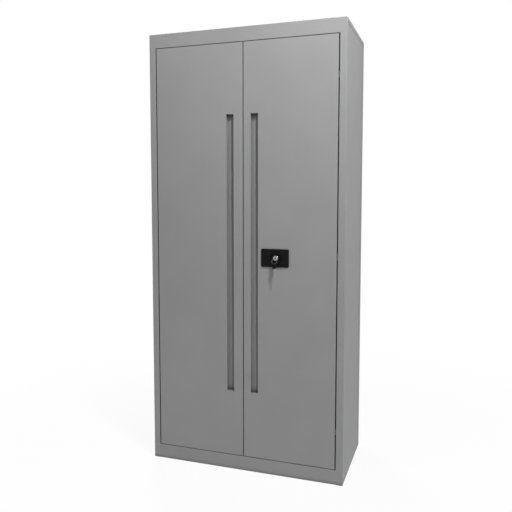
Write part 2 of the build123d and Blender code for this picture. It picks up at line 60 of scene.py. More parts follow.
def makeCamera(setup):
    # lens in mm = focal length in pixels / picture width x sensor width; the camera looks level, then
    # turns about the upright axis and tips down
    data = bpy.data.cameras.new("camera")
    data.sensor_width = setup["sensor"]
    data.lens = setup["focalPixels"] / setup["pictureWidth"] * setup["sensor"]
    data.shift_y = setup["shiftPixels"] / setup["pictureWidth"]
    data.clip_start, data.clip_end = setup["clip"]
    camera = bpy.data.objects.new("camera", data)
    camera.location = setup["place"]
    camera.rotation_euler = (math.pi / 2 - setup["tilt"], 0, setup["turn"])
    scene.collection.objects.link(camera)
    scene.camera = camera


makeCamera(cameraSetup)
scene.view_settings.view_transform = "Standard"
print("camera placed")


# node helpers for the materials
noiseSpan = (0.3, 0.7)       # nearly all of a noise's values lie in this span


def newMaterial(name):
    # a material with its tree of nodes, ready for its own values
    material = bpy.data.materials.new(name)
    material.use_nodes = True
    nodes = material.node_tree.nodes
    shader = nodes["Principled BSDF"]
    return material, nodes, material.node_tree.links, shader


def noiseNode(nodes, links, source, scale, detail):
    # noise whose lumps are about 1 / scale metres across
    noise = nodes.new("ShaderNodeTexNoise")
    noise.inputs["Scale"].default_value = scale
    noise.inputs["Detail"].default_value = detail
    links.new(source, noise.inputs["Vector"])
    return noise.outputs["Fac"]


def rangeNode(nodes, links, source, low, high, fromLow=noiseSpan[0], fromHigh=noiseSpan[1]):
    # the source's span from fromLow to fromHigh is stretched evenly over low to high, and held outside it
    spread = nodes.new("ShaderNodeMapRange")
    spread.inputs["From Min"].default_value = fromLow
    spread.inputs["From Max"].default_value = fromHigh
    spread.inputs["To Min"].default_value = low
    spread.inputs["To Max"].default_value = high
    links.new(source, spread.inputs["Value"])
    return spread.outputs["Result"]


def colourRange(nodes, links, source, low, high):
    # an even blend between two colours while the source goes through the noise's span
    ramp = nodes.new("ShaderNodeValToRGB")
    for element, position, colour in zip(ramp.color_ramp.elements, noiseSpan, (low, high)):
        element.position = position
        element.color = (*colour, 1)
    links.new(source, ramp.inputs["Fac"])
    return ramp.outputs["Color"]


def bumpNode(nodes, links, source, distance, under=None):
    # the source's height times the distance tips the normal, on top of the bump under it
    bump = nodes.new("ShaderNodeBump")
    bump.inputs["Distance"].default_value = distance
    links.new(source, bump.inputs["Height"])
    if under is not None:
        links.new(under, bump.inputs["Normal"])
    return bump.outputs["Normal"]


# grey powder coat: a fine even grain over a broader orange peel, a faint cloudiness, and painted shade that
# darkens narrow gaps, folds and recesses. Each noise has its scale and detail
powderCoat = {
    "dark": (0.243, 0.243, 0.244), "light": (0.257, 0.257, 0.257), "rough": (0.43, 0.52), "shine": 0.35,
    "cloud": (6, 3), "grain": (900, 2), "grainHeight": 0.00006, "peel": (260, 1), "peelHeight": 0.00012,
    "reach": 0.03,              # distance within which surfaces hide the open sky, metres
    "openness": (0.2, 0.85),    # shares of open sky at which the painted shade is deepest and gone
    "gapShade": 0.1,            # share of the colour left where the painted shade is deepest
}


def makePowderCoat(values):
    # colour = slow noise x painted-shade share, which grows evenly with the share of open sky; roughness
    # follows a fine noise; bump = fine grain over a coarser peel
    material, nodes, links, shader = newMaterial("powderCoat")
    place = nodes.new("ShaderNodeTexCoord").outputs["Object"]
    cloud = noiseNode(nodes, links, place, *values["cloud"])
    coat = colourRange(nodes, links, cloud, values["dark"], values["light"])
    # painted shade: ambient occlusion within the reach darkens the colour in gaps, folds and recesses
    crevice = nodes.new("ShaderNodeAmbientOcclusion")
    crevice.inputs["Distance"].default_value = values["reach"]
    share = rangeNode(nodes, links, crevice.outputs["AO"], values["gapShade"], 1, *values["openness"])
    shadedCoat = nodes.new("ShaderNodeVectorMath")
    shadedCoat.operation = "SCALE"
    links.new(coat, shadedCoat.inputs[0])
    links.new(share, shadedCoat.inputs["Scale"])
    links.new(shadedCoat.outputs["Vector"], shader.inputs["Base Color"])
    grain = noiseNode(nodes, links, place, *values["grain"])
    links.new(rangeNode(nodes, links, grain, *values["rough"]), shader.inputs["Roughness"])
    shader.inputs["Specular IOR Level"].default_value = values["shine"]
    peel = noiseNode(nodes, links, place, *values["peel"])
    under = bumpNode(nodes, links, peel, values["peelHeight"])
    links.new(bumpNode(nodes, links, grain, values["grainHeight"], under), shader.inputs["Normal"])
    return material


lockAxis = (0.1535, 0.988)   # x and z of the lock, which its own pieces and both keys share

# black moulded plastic: spark-eroded grain with a satin sheen
blackPlastic = {"dark": (0.003, 0.003, 0.0032), "light": (0.006, 0.006, 0.0063), "rough": (0.34, 0.44),
                "shine": 0.08, "grain": (1600, 3), "grainHeight": 0.00005}
# the lock plate's dish looks blacker than the plate, which is painted in as shade: a share of the colour is
# left in it, and the change is made over the fade's width
shadedDish = {"middle": (lockAxis[0], -0.233, lockAxis[1]), "radius": 0.0305, "fade": 0.001, "left": 0.3}


def makeBlackPlastic(name, values, dish=None):
    # colour, roughness and bump follow one fine noise; within the dish's radius the colour is scaled down as
    # painted shade
    material, nodes, links, shader = newMaterial(name)
    place = nodes.new("ShaderNodeTexCoord").outputs["Object"]
    grain = noiseNode(nodes, links, place, *values["grain"])
    colour = colourRange(nodes, links, grain, values["dark"], values["light"])
    # painted shade: the dish is darkened in the colour itself
    if dish is not None:
        apart = nodes.new("ShaderNodeVectorMath")
        apart.operation = "DISTANCE"
        apart.inputs[1].default_value = dish["middle"]
        links.new(place, apart.inputs[0])
        inner = dish["radius"] - dish["fade"]
        share = rangeNode(nodes, links, apart.outputs["Value"], dish["left"], 1, inner, dish["radius"])
        scaled = nodes.new("ShaderNodeVectorMath")
        scaled.operation = "SCALE"
        links.new(colour, scaled.inputs[0])
        links.new(share, scaled.inputs["Scale"])
        colour = scaled.outputs["Vector"]
    links.new(colour, shader.inputs["Base Color"])
    links.new(rangeNode(nodes, links, grain, *values["rough"]), shader.inputs["Roughness"])
    shader.inputs["Specular IOR Level"].default_value = values["shine"]
    links.new(bumpNode(nodes, links, grain, values["grainHeight"]), shader.inputs["Normal"])
    return material


# plated metals: brushed by a noise drawn out along one axis, between two shares of the colour
brushing = {"noise": (1, 3), "tones": (0.93, 1.05), "height": 0.00001}
platedMetals = {
    "brightChrome": {"colour": (0.42, 0.42, 0.43), "rough": (0.10, 0.18), "stretch": (400, 60, 400)},
    "nickelPlate": {"colour": (0.34, 0.335, 0.325), "rough": (0.24, 0.38), "stretch": (900, 900, 60)},
    "zincPlate": {"colour": (0.46, 0.47, 0.48), "rough": (0.34, 0.5), "stretch": (240, 240, 40)},
}


def makePlated(name, values):
    # one noise, stretched along the axis with the smallest number, drives colour, roughness and bump
    material, nodes, links, shader = newMaterial(name)
    place = nodes.new("ShaderNodeTexCoord").outputs["Object"]
    mapping = nodes.new("ShaderNodeMapping")
    mapping.inputs["Scale"].default_value = values["stretch"]
    links.new(place, mapping.inputs["Vector"])
    strokes = noiseNode(nodes, links, mapping.outputs["Vector"], *brushing["noise"])
    low, high = (tuple(tone * part for part in values["colour"]) for tone in brushing["tones"])
    links.new(colourRange(nodes, links, strokes, low, high), shader.inputs["Base Color"])
    links.new(rangeNode(nodes, links, strokes, *values["rough"]), shader.inputs["Roughness"])
    links.new(bumpNode(nodes, links, strokes, brushing["height"]), shader.inputs["Normal"])
    shader.inputs["Metallic"].default_value = 1
    return material


# soft black rubber with a dusty bloom
bufferRubber = {"dark": (0.012, 0.012, 0.012), "light": (0.022, 0.022, 0.022), "rough": (0.7, 0.85),
                "bloom": (300, 3), "bloomHeight": 0.00008}


def makeRubber(values):
    # one noise drives colour, roughness and bump
    material, nodes, links, shader = newMaterial("bufferRubber")
    place = nodes.new("ShaderNodeTexCoord").outputs["Object"]
    bloom = noiseNode(nodes, links, place, *values["bloom"])
    links.new(colourRange(nodes, links, bloom, values["dark"], values["light"]), shader.inputs["Base Color"])
    links.new(rangeNode(nodes, links, bloom, *values["rough"]), shader.inputs["Roughness"])
    links.new(bumpNode(nodes, links, bloom, values["bloomHeight"]), shader.inputs["Normal"])
    return material


slotMaterials = {
    "powder_coat": makePowderCoat(powderCoat),
    "black_plastic": makeBlackPlastic("blackPlastic", blackPlastic),
    "chromed_zinc": makePlated("brightChrome", platedMetals["brightChrome"]),
    "nickel_steel": makePlated("nickelPlate", platedMetals["nickelPlate"]),
    "zinc_steel": makePlated("zincPlate", platedMetals["zincPlate"]),
    "buffer_rubber": makeRubber(bufferRubber),
}


def dressNodes():
    # every carried node gets the material of the slot that the record gives it
    slotOf = {part["node"]: part["material_slot"] for part in frame["record"]["subparts"]}
    for name, node in frame["nodes"].items():
        node.data.materials.clear()
        node.data.materials.append(slotMaterials[slotOf[name]])


dressNodes()
print("materials on the carried nodes")


# surfaces for the new pieces: rows of points, every row with the same number of points
def surfacePiece(name, shells, slot, sharpFrom=35):
    # each shell is an array (rows, points, 3): quads between neighbouring rows, each row closed round;
    # "ring" shells join the last row to the first, "capped" ones end in a flat face. Six times the enclosed
    # volume = the sum of a . (b x c) over the triangles, and is positive where the faces point outwards.
    # Edges that bend by more than sharpFrom degrees stay sharp
    corners, faces, start = [], [], 0
    for grid, ending in shells:
        rows, across = grid.shape[:2]
        numbers = start + np.arange(rows * across).reshape(rows, across)
        low = numbers if ending == "ring" else numbers[:-1]
        high = np.roll(numbers, -1, 0) if ending == "ring" else numbers[1:]
        quads = np.stack([low, np.roll(low, -1, 1), np.roll(high, -1, 1), high], -1).reshape(-1, 4)
        a, b, c, d = (grid.reshape(-1, 3)[quads[:, k] - start] for k in range(4))
        volume = np.einsum("ij,ij->i", a, np.cross(b, c) + np.cross(c, d)).sum()
        shellFaces = quads.tolist()
        if ending == "capped":
            shellFaces += [numbers[0][::-1].tolist(), numbers[-1].tolist()]
            for row, sign in ((grid[0], -1), (grid[-1], 1)):
                fan = np.cross(row[1:-1] - row[0], row[2:] - row[0]).sum(0)
                volume += sign * (row[0] @ fan)
        faces += shellFaces if volume > 0 else [face[::-1] for face in shellFaces]
        corners.append(grid.reshape(-1, 3))
        start += rows * across
    mesh = bpy.data.meshes.new(name)
    mesh.from_pydata(np.concatenate(corners).tolist(), [], faces)
    mesh.materials.append(slotMaterials[slot])
    mesh.shade_smooth()
    mesh.set_sharp_from_angle(angle=math.radians(sharpFrom))
    piece = bpy.data.objects.new(name, mesh)
    scene.collection.objects.link(piece)
    return piece


bodyOf = {node: body for body, members in frame["record"]["behaviour"]["bodies"].items() for node in members}


def swapIn(piece, node):
    # the piece stands for the node and moves with the node's body
    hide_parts(node)
    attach(piece, bodyOf[node])


def polarLoop(axis, angles, radius, y):
    # axis + radius (cos, sin) at the angles; the radius is one number, or one for each angle
    reach = np.broadcast_to(radius, angles.shape)
    x, z = axis[0] + reach * np.cos(angles), axis[1] + reach * np.sin(angles)
    return np.stack([x, np.full(len(angles), y), z], 1)


def roundedOutline(width, height, radius, perCorner=16, perSide=10):
    # a rectangle with quarter circles at its corners, and points along its straight sides
    across, upwards = width / 2 - radius, height / 2 - radius
    corners = []
    middles = [(across, upwards), (-across, upwards), (-across, -upwards), (across, -upwards)]
    for index, middle in enumerate(middles):
        t = (index + np.linspace(0, 1, perCorner)) * math.pi / 2
        corners.append(np.array(middle) + radius * np.stack([np.cos(t), np.sin(t)], 1))
    joined = []
    for here, there in zip(corners, corners[1:] + corners[:1]):
        share = np.linspace(0, 1, perSide)[1:-1, None]
        joined += [here, here[-1] + share * (there[0] - here[-1])]
    return np.concatenate(joined)


def turnedProfile(axis, profile, count):
    # a profile of (radius, y) pairs turned about an axis along y
    angles = np.linspace(0, 2 * math.pi, count, endpoint=False)
    return np.stack([polarLoop(axis, angles, radius, y) for radius, y in profile])


def softEdge(side, front, size, steps=5):
    # a quarter circle from the round side onto the front: radius = side - size (1 - cos), y = front +
    # size (1 - sin)
    return [(side - size * (1 - math.cos(angle)), front + size * (1 - math.sin(angle)))
            for angle in np.linspace(0, math.pi / 2, steps)]


# lock plate: moulded plate with a softly rounded rim and a round dish about the cylinder
lockPlate = {"middle": (0.149, lockAxis[1]), "size": (0.126, 0.079), "corner": 0.006, "back": -0.229,
             "face": -0.234, "faceShares": (0.3, 0.7, 1.0), "rim": 0.0014, "rimSteps": 6,
             "dish": 0.031, "dishDepth": 0.0022, "dishSteps": 14, "lip": 0.0006,
             "lipShares": (0.35, 0.7, 1.0), "bore": 0.0096, "seat": 0.0111}


def plateRows(spec):
    # rows run from the bore out along rays from the lock's axis: seat, dish, lip, face, rounded rim, side
    outline = roundedOutline(*spec["size"], spec["corner"]) + np.array(spec["middle"])
    lock = np.array(lockAxis)
    towards = outline - lock
    unit = towards / np.hypot(*towards.T)[:, None]
    seatY = spec["face"] + spec["dishDepth"]
    # the dish is part of a sphere that touches the seat on the lock's axis
    ball = (spec["dish"] ** 2 + spec["dishDepth"] ** 2) / (2 * spec["dishDepth"])

    def dishY(radius):
        # circle: seat - (ball - sqrt(ball^2 - radius^2)), towards the front as the radius grows
        return seatY - ball + math.sqrt(ball ** 2 - radius ** 2)

    def ring(radius, y):
        # a circle about the axis at depth y
        flat = lock + unit * radius
        return np.stack([flat[:, 0], np.full(len(flat), y), flat[:, 1]], 1)

    def spread(share, inset, y):
        # between the dish's rim and the outline less an inset, along the same rays
        length = np.hypot(*towards.T) - inset
        reach = spec["dish"] + spec["lip"] + share * (length - spec["dish"] - spec["lip"])
        flat = lock + unit * np.maximum(reach, spec["dish"])[:, None]
        return np.stack([flat[:, 0], np.full(len(flat), y), flat[:, 1]], 1)

    rows = [ring(spec["bore"], spec["back"]), ring(spec["bore"], seatY), ring(spec["seat"], seatY)]
    dishRadii = np.linspace(spec["seat"], spec["dish"] - spec["lip"], spec["dishSteps"])
    rows += [ring(radius, dishY(radius)) for radius in dishRadii]
    # across the lip the depth under the face goes with the square of the share still to go
    drop = dishY(spec["dish"] - spec["lip"]) - spec["face"]
    for share in spec["lipShares"]:
        radius = spec["dish"] + spec["lip"] * (2 * share - 1)
        rows.append(ring(radius, spec["face"] + drop * (1 - share) ** 2))
    rows += [spread(share, spec["rim"], spec["face"]) for share in spec["faceShares"]]
    for angle in np.linspace(0, math.pi / 2, spec["rimSteps"])[1:]:
        inset, sunk = spec["rim"] * (1 - math.sin(angle)), spec["rim"] * (1 - math.cos(angle))
        rows.append(spread(1.0, inset, spec["face"] + sunk))
    rows.append(spread(1.0, 0, spec["back"]))
    return np.stack(rows)


plateMoulding = surfacePiece("lockPlateMoulding", [(plateRows(lockPlate), "ring")], "black_plastic")
plateMoulding.data.materials[0] = makeBlackPlastic("platePlastic", blackPlastic, shadedDish)
swapIn(plateMoulding, "lock_plate")


# cylinder: barrel behind the plate and a stepped bright collar in front
lockBarrel = {"back": -0.2212, "seat": -0.2318, "front": -0.2378, "barrel": 0.0095, "collar": 0.011,
              "edge": 0.0012, "groove": 0.0004, "grooveHalves": (0.0007, 0.0004), "bore": 0.0066,
              "boreEase": 0.0004, "steps": 96}


def barrelProfile(spec):
    # (radius, y) from the bore's back round the barrel, the collar's eased edge and a fine ring groove,
    # which is halfway between that edge and the bore and narrower at its floor
    profile = [(spec["bore"], spec["back"]), (spec["barrel"], spec["back"]), (spec["barrel"], spec["seat"]),
               (spec["collar"], spec["seat"])]
    profile += softEdge(spec["collar"], spec["front"], spec["edge"])
    middle = (spec["collar"] - spec["edge"] + spec["bore"]) / 2
    front, sunk = spec["front"], spec["front"] + spec["groove"]
    atFront, atFloor = spec["grooveHalves"]
    profile += [(middle + atFront, front), (middle + atFloor, sunk), (middle - atFloor, sunk),
                (middle - atFront, front)]
    return profile + [(spec["bore"] + spec["boreEase"], front), (spec["bore"], front + spec["boreEase"])]


barrelGrid = turnedProfile(lockAxis, barrelProfile(lockBarrel), lockBarrel["steps"])
swapIn(surfacePiece("lockBarrelTurning", [(barrelGrid, "ring")], "chromed_zinc"), "lock_barrel")


# plug: round face with the key slot sunk in it, and the spindle behind
lockPlug = {"front": -0.2383, "back": -0.221, "radius": 0.00645, "edge": 0.0005, "steps": 96,
            "slot": (0.0028, 0.009), "slotBack": -0.2212, "slotEase": 0.0003, "slotGrowth": 1.08,
            "spindle": 0.003, "spindleBack": -0.2035, "spindleEase": 0.0005}


def plugRows(spec):
    # rows from the slot's floor out over the face and back along the round side to the spindle's end
    halfWide, halfTall = spec["slot"][0] / 2, spec["slot"][1] / 2
    # the slot's outline and the round rims share their angles: even steps, and the slot's four corners
    corner = math.atan2(halfTall, halfWide)
    corners = [corner, math.pi - corner, math.pi + corner, 2 * math.pi - corner]
    angles = np.sort(np.concatenate([np.linspace(0, 2 * math.pi, spec["steps"], endpoint=False), corners]))
    # a rectangle's radius = 1 / the larger one of |cos| / half width and |sin| / half height
    slot = 1 / np.maximum(np.abs(np.cos(angles)) / halfWide, np.abs(np.sin(angles)) / halfTall)
    front, spindleBack, ease = spec["front"], spec["spindleBack"], spec["spindleEase"]
    section = [(slot, spec["slotBack"]), (slot, front + spec["slotEase"]), (slot * spec["slotGrowth"], front)]
    section += reversed(softEdge(spec["radius"], front, spec["edge"]))
    section += [(spec["radius"], spec["back"]), (spec["spindle"], spec["back"]),
                (spec["spindle"], spindleBack - ease), (spec["spindle"] - ease, spindleBack)]
    return np.stack([polarLoop(lockAxis, angles, radius, y) for radius, y in section])


swapIn(surfacePiece("lockPlugTurning", [(plugRows(lockPlug), "capped")], "chromed_zinc"), "lock_plug")


# flat parts with a hole: the shares run from the hole (0) to the outline (1)
padShape = {"holeEase": 0.6, "holeShare": 0.03, "panelWall": 0.05, "edgeSteps": 5}


def padRows(outline, hole, frameOf, half, edge, panel, panelSpan):
    # loops from the hole's wall over the upper face, where the panel is sunk in its span of shares, round
    # the edge on a quarter circle, and the same mirrored back over the lower face
    length = np.hypot(*outline.T)
    unit = outline / length[:, None]
    (start, end), wall = panelSpan, padShape["panelWall"]

    def loop(share, inset, height):
        # reach = hole + share x (outline - inset - hole) along each ray
        reach = hole + share * (length - inset - hole)
        return frameOf(unit * reach[:, None], height)

    section = [(0.0, edge, half - edge * padShape["holeEase"]), (padShape["holeShare"], edge, half),
               (start, edge, half), (start + wall, edge, half - panel), (end - wall, edge, half - panel),
               (end, edge, half)]
    for angle in np.linspace(0, math.pi / 2, padShape["edgeSteps"]):
        section.append((1.0, edge * (1 - math.sin(angle)), half - edge * (1 - math.cos(angle))))
    section += [(share, inset, -height) for share, inset, height in reversed(section)]
    return np.stack([loop(*point) for point in section])


# key blades: the cuts' places, the tip's taper in shares of the width and thickness, and one grooved side
# from the cut edge to the back, in shares of half the thickness and of the height
bladeShape = {
    "first": 0.011, "pitch": 0.0042, "seat": 0.0009, "slope": 1.0, "steps": 121,
    "tip": 0.003, "tipRise": 0.38, "tipDrop": 0.3, "tipThinning": 0.3,
    "side": ((1, 0.02), (1, 0.45), (0.5, 0.5), (0.5, 0.62), (1, 0.67), (1, 0.98)),
}


def cutDepth(along, cuts, shape):
    # bitting: at each cut the edge rises from a flat seat with the same slope on both sides
    depth = np.zeros_like(along)
    for index, deep in enumerate(cuts):
        distance = np.abs(along - shape["first"] - index * shape["pitch"])
        depth = np.maximum(depth, deep - np.maximum(distance - shape["seat"], 0) * shape["slope"])
    return depth


def bladeRows(frameOf, length, width, half, cuts, shape=bladeShape):
    # a section carried along the blade: straight back, two grooved sides, and an edge with cuts in it; over
    # the tip both edges draw together and the sides grow thinner, evenly with the distance
    along = np.linspace(0, length, shape["steps"])
    tip = np.clip((along - length + shape["tip"]) / shape["tip"], 0, 1)
    low = -width / 2 + cutDepth(along, cuts, shape) + tip * width * shape["tipRise"]
    high = width / 2 - tip * width * shape["tipDrop"]
    thickness, level = np.array(shape["side"]).T
    sideways = np.concatenate([-thickness, thickness[::-1]]) * half
    upwards = np.concatenate([level, level[::-1]])
    heights = low[:, None] + (high - low)[:, None] * upwards
    thick = sideways * (1 - shape["tipThinning"] * tip[:, None])
    flat = np.stack([np.broadcast_to(along[:, None], heights.shape), heights], -1)
    return frameOf(flat, thick)


# key in the lock: round stamped bow with a hole for the ring, and a cut blade in the slot
ringHoleY = -0.2543          # where the key ring passes through the bow
lockKey = {"bow": -0.2513, "bowRadius": 0.010, "holeRadius": 0.0027, "half": 0.001, "edge": 0.0004,
           "panel": 0.00025, "panelSpan": (0.3, 0.8), "steps": 96, "bladeStart": -0.2430, "bladeEnd": -0.2213,
           "width": 0.0076, "bladeHalf": 0.00098, "cuts": (0.0014, 0.0022, 0.0009)}


def lockKeyShells(spec):
    # bow: a disc seen from its ring hole; blade: a strip that runs back into the slot
    t = np.linspace(0, 2 * math.pi, spec["steps"], endpoint=False)
    fromHole = np.array([spec["bow"] - ringHoleY, 0])
    outline = fromHole + spec["bowRadius"] * np.stack([np.cos(t), np.sin(t)], 1)

    def bowFrame(flat, height):
        # the bow stands upright along the lock's axis, its thickness along x
        x, y, z = np.full(len(flat), lockAxis[0] + height), ringHoleY + flat[:, 0], lockAxis[1] + flat[:, 1]
        return np.stack([x, y, z], 1)

    def bladeFrame(flat, sideways):
        # distance along the blade runs to the back, its height upwards
        x, y, z = lockAxis[0] + sideways, spec["bladeStart"] + flat[..., 0], lockAxis[1] + flat[..., 1]
        return np.stack([x, y, z], -1)

    bow = padRows(outline, spec["holeRadius"], bowFrame, spec["half"], spec["edge"], spec["panel"],
                  spec["panelSpan"])
    length = spec["bladeEnd"] - spec["bladeStart"]
    blade = bladeRows(bladeFrame, length, spec["width"], spec["bladeHalf"], spec["cuts"])
    return [(bow, "ring"), (blade, "capped")]


swapIn(surfacePiece("lockKeyStamping", lockKeyShells(lockKey), "nickel_steel"), "lock_key")


# key ring: two turns of spring wire side by side, crossing over on the way round
keyRing = {"radius": 0.0115, "wire": 0.00045, "turns": 1.94, "start": -2.2, "crossing": 0.5, "steps": 260,
           "wireSteps": 12}


def ringRows(spec):
    # wire loops carried along radius (cos, sin) of the angle, which makes almost two turns
    t = np.linspace(0, 1, spec["steps"])
    angle = spec["start"] + 2 * math.pi * spec["turns"] * t
    # midway, over the crossing's share of a turn, the wire moves from the rear track to the front one; the
    # way across is 3 s^2 - 2 s^3
    step = np.clip((t - 0.5) * spec["turns"] / spec["crossing"] + 0.5, 0, 1)
    outwards = np.stack([np.cos(angle), np.zeros_like(angle), np.sin(angle)], 1)
    centre = np.array([lockAxis[0], 0, lockAxis[1] - spec["radius"]]) + spec["radius"] * outwards
    centre[:, 1] = ringHoleY + spec["wire"] * (1 - 2 * (3 * step ** 2 - 2 * step ** 3))
    around = np.linspace(0, 2 * math.pi, spec["wireSteps"], endpoint=False)[:, None]
    reach = np.cos(around) * outwards[:, None] + np.sin(around) * np.array([0, 1, 0])
    return centre[:, None] + spec["wire"] * reach


swapIn(surfacePiece("splitRing", [(ringRows(keyRing), "capped")], "nickel_steel"), "key_ring")


# spare key: moulded head with a sunk panel on both faces, and a cut blade
spareKey = {"turn": 40, "head": (0.020, 0.027), "corner": 0.008, "drop": 0.0085, "hole": 0.0042,
            "half": 0.002, "edge": 0.0009, "panel": 0.0005, "panelSpan": (0.25, 0.85), "bladeHalf": 0.001,
            "width": 0.0076, "bladeTop": -0.018, "bladeLength": 0.042,
            "cuts": (0.0012, 0.0024, 0.0016, 0.0028, 0.0010, 0.0022)}


def spareFrame(spec):
    # hangs straight down from the ring's lowest point, turned about the upright: across and outwards are
    # that turn's axes
    turn = math.radians(spec["turn"])
    across = np.array([math.sin(turn), math.cos(turn), 0])
    outwards = np.array([math.cos(turn), -math.sin(turn), 0])
    top = np.array([lockAxis[0], ringHoleY, lockAxis[1] - 2 * keyRing["radius"]])
    upwards = np.array([0, 0, 1])

    def headFrame(flat, height):
        # top + across + upwards + the height outwards
        return top + flat[:, :1] * across + flat[:, 1:] * upwards + height * outwards

    def bladeFrame(flat, sideways):
        # distance along the blade runs down from the head
        down = spec["bladeTop"] - flat[..., :1]
        return top + down * upwards + flat[..., 1:] * across + sideways[..., None] * outwards

    return headFrame, bladeFrame


headFrame, bladeFrame = spareFrame(spareKey)
headOutline = roundedOutline(*spareKey["head"], spareKey["corner"]) - np.array([0, spareKey["drop"]])
headGrid = padRows(headOutline, spareKey["hole"], headFrame, spareKey["half"], spareKey["edge"],
                   spareKey["panel"], spareKey["panelSpan"])
swapIn(surfacePiece("spareKeyGrip", [(headGrid, "ring")], "black_plastic"), "spare_key_head")
bladeGrid = bladeRows(bladeFrame, spareKey["bladeLength"], spareKey["width"], spareKey["bladeHalf"],
                      spareKey["cuts"])
swapIn(surfacePiece("spareKeyStamping", [(bladeGrid, "capped")], "nickel_steel"), "spare_key_blade")
print("lock and keys made")


def standingProfile(axis, profile, count):
    # a profile of (radius, z) pairs turned about an upright axis: the turned one with y and z changed over
    return turnedProfile(axis, profile, count)[..., [0, 2, 1]]


# hinge pins: a shaft between two domed heads at each hinge
hingePins = {"x": 0.4145, "y": -0.222, "levels": (0.2295, 1.0, 1.7705), "half": 0.0186, "shaft": 0.0025,
             "head": 0.0035, "rim": 0.0003, "headHeight": 0.0015, "flat": 0.0006, "domeSteps": 7,
             "steps": 48}


def pinProfile(spec, level):
    # each head is a quarter ellipse from its rim to a small flat crown
    t = np.linspace(0, math.pi / 2, spec["domeSteps"])
    radius = spec["flat"] + (spec["head"] - spec["flat"]) * np.cos(t)
    rise = spec["half"] + spec["rim"] + (spec["headHeight"] - spec["rim"]) * np.sin(t)
    upper = [(spec["shaft"], spec["half"]), (spec["head"], spec["half"])] + list(zip(radius, rise))
    lower = [(r, -z) for r, z in reversed(upper)]
    return [(r, level + z) for r, z in lower + upper]


def addHingePins(spec, hand, side):
    # one pin at each level, at plus or minus x
    axis = (side * spec["x"], spec["y"])
    shells = [(standingProfile(axis, pinProfile(spec, level), spec["steps"]), "capped")
              for level in spec["levels"]]
    swapIn(surfacePiece(f"{hand}HingePinTurnings", shells, "zinc_steel"), f"{hand}_hinge_pins")


addHingePins(hingePins, "left", -1)
addHingePins(hingePins, "right", 1)


# door buffers: rubber buttons with a broad foot, a waist and a domed nose
doorBuffers = {"xs": (-0.330, -0.060, 0.060, 0.330), "levels": (1.9245, 0.0745), "back": -0.203,
               "front": -0.2087, "heel": 0.0005, "foot": 0.0045, "footHeight": 0.0014, "footEase": 0.0004,
               "waist": 0.0034, "waistHeight": 0.0008, "nose": 0.0040, "noseDepth": 0.0022, "noseSteps": 8,
               "crown": 0.0004, "steps": 40}


def bufferProfile(spec):
    # foot and waist as straight steps, then a nose whose section is a quarter ellipse
    back, front, top = spec["back"], spec["front"], spec["back"] - spec["footHeight"]
    profile = [(spec["heel"], back), (spec["foot"], back), (spec["foot"], top + spec["footEase"]),
               (spec["foot"] - spec["footEase"], top), (spec["waist"], top),
               (spec["waist"], top - spec["waistHeight"]), (spec["nose"], front + spec["noseDepth"])]
    t = np.linspace(0, math.pi / 2, spec["noseSteps"])[1:-1]
    rim, dome = spec["nose"] * np.cos(t), front + spec["noseDepth"] * (1 - np.sin(t))
    return profile + list(zip(rim, dome)) + [(spec["crown"], front)]


bufferShells = [(turnedProfile((x, z), bufferProfile(doorBuffers), doorBuffers["steps"]), "capped")
                for x in doorBuffers["xs"] for z in doorBuffers["levels"]]
swapIn(surfacePiece("bufferButtons", bufferShells, "buffer_rubber"), "door_buffers")


# crank nut: six flats with a chamfered end, standing on a round washer face
crankNut = {"front": -0.2075, "back": -0.2043, "corner": 0.0055, "bore": 0.0031, "boreEase": 0.0003,
            "washer": 0.0054, "washerHeight": 0.0005, "washerEase": 0.0001, "rise": 0.00002,
            "crown": 0.0049, "slope": 1.8, "chamfer": 0.0006, "chamferSteps": 6, "steps": 120,
            "sharpFrom": 25}


def nutRows(spec):
    # a hexagon's radius = apothem / cos(angle from the middle of its side); at the chamfered end it is cut
    # off by a cone that widens away from the end
    angles = np.linspace(0, 2 * math.pi, spec["steps"], endpoint=False)
    apothem = spec["corner"] * math.cos(math.pi / 6)
    hexagon = apothem / np.cos(np.mod(angles, math.pi / 3) - math.pi / 6)
    front, back, step = spec["front"], spec["back"], spec["front"] + spec["washerHeight"]
    section = [(spec["bore"], front), (spec["washer"] - spec["washerEase"], front),
               (spec["washer"], front + spec["washerEase"]), (spec["washer"], step),
               (hexagon, step + spec["rise"])]
    for y in np.linspace(back - spec["chamfer"], back, spec["chamferSteps"]):
        section.append((np.minimum(hexagon, spec["crown"] + (back - y) * spec["slope"]), y))
    section += [(spec["bore"] + spec["boreEase"], back), (spec["bore"], back - spec["boreEase"])]
    return np.stack([polarLoop(lockAxis, angles, radius, y) for radius, y in section])


nutCut = surfacePiece("crankNutCut", [(nutRows(crankNut), "ring")], "zinc_steel", crankNut["sharpFrom"])
swapIn(nutCut, "crank_nut")


# rod guides: moulded blocks with eased edges and a sunk end round the bore
rodGuides = {"size": (0.018, 0.0185), "corner": 0.0012, "cornerSteps": 8, "shift": (0, -0.00275),
             "rodY": -0.216, "bore": 0.0044, "half": 0.006, "edge": 0.0007, "panel": 0.0004,
             "panelSpan": (0.12, 0.7)}
# each set's node, the rod's x, and the blocks' levels
guideSets = {
    "upperRodGuideBlocks": ("upper_rod_guides", 0.16375, (1.078, 1.400, 1.8605)),
    "lowerRodGuideBlocks": ("lower_rod_guides", 0.14325, (0.898, 0.560, 0.1395)),
    "doorBoltGuideBlocks": ("door_bolt_guides", -0.025, (1.9015, 1.8295, 0.1705, 0.0985)),
}


